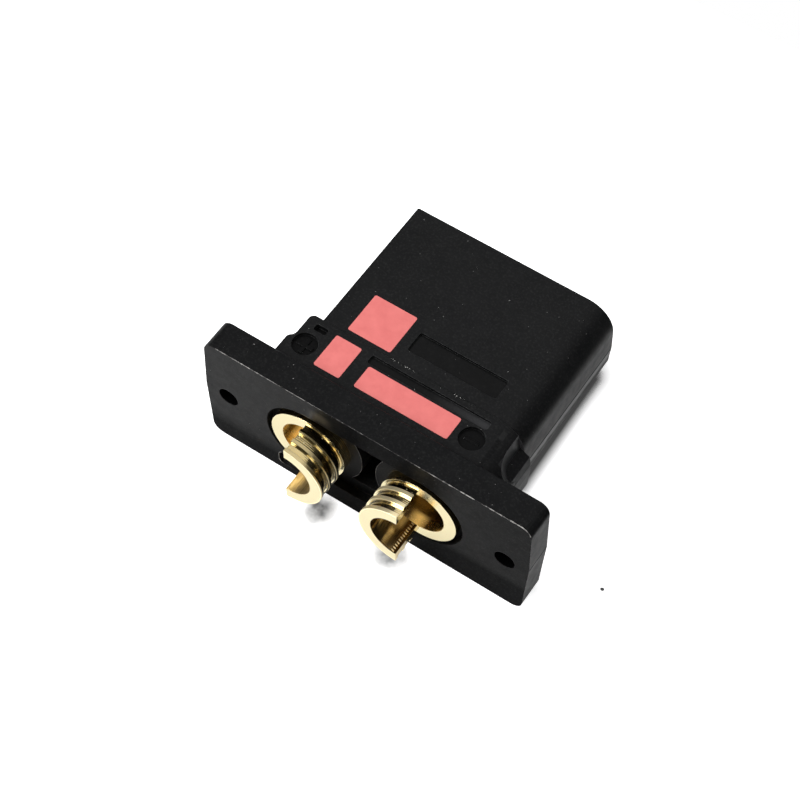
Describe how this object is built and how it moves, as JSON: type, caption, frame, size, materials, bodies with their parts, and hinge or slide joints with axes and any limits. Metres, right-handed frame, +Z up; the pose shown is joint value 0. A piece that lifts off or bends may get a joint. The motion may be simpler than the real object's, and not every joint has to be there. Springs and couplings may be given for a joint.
{
  "type": "anti-spark panel connector",
  "caption": "Flanged panel-mount power connector with two solder-cup socket contacts, a polarised mating body and a built-in pre-charge resistor.",
  "frame": {"origin": "centre of the flange face that seats on the panel, midway between the two screw holes", "axes": "+X along the flange from the positive to the negative contact, +Y through the panel towards the mating end, +Z up"},
  "size_m": [0.0524, 0.0431, 0.0218],
  "materials": {
    "housing_plastic": "satin, fine moulded grain",
    "contact_gold": "gold plated, turned",
    "mark_coral": "matt printed field",
    "insulator_plastic": "natural, satin",
    "resistor_body": "lacquered",
    "lead_tin": "tinned wire"
  },
  "bodies": {
    "root": {"housing": "housing_plastic", "contact_positive": "contact_gold", "contact_negative": "contact_gold", "precharge_ring": "contact_gold", "ring_insulator": "insulator_plastic", "resistor": "resistor_body", "resistor_lead_front": "lead_tin", "resistor_lead_rear": "lead_tin", "pad_small": "mark_coral", "pad_long": "mark_coral", "pad_square": "mark_coral"}
  },
  "joints": []
}
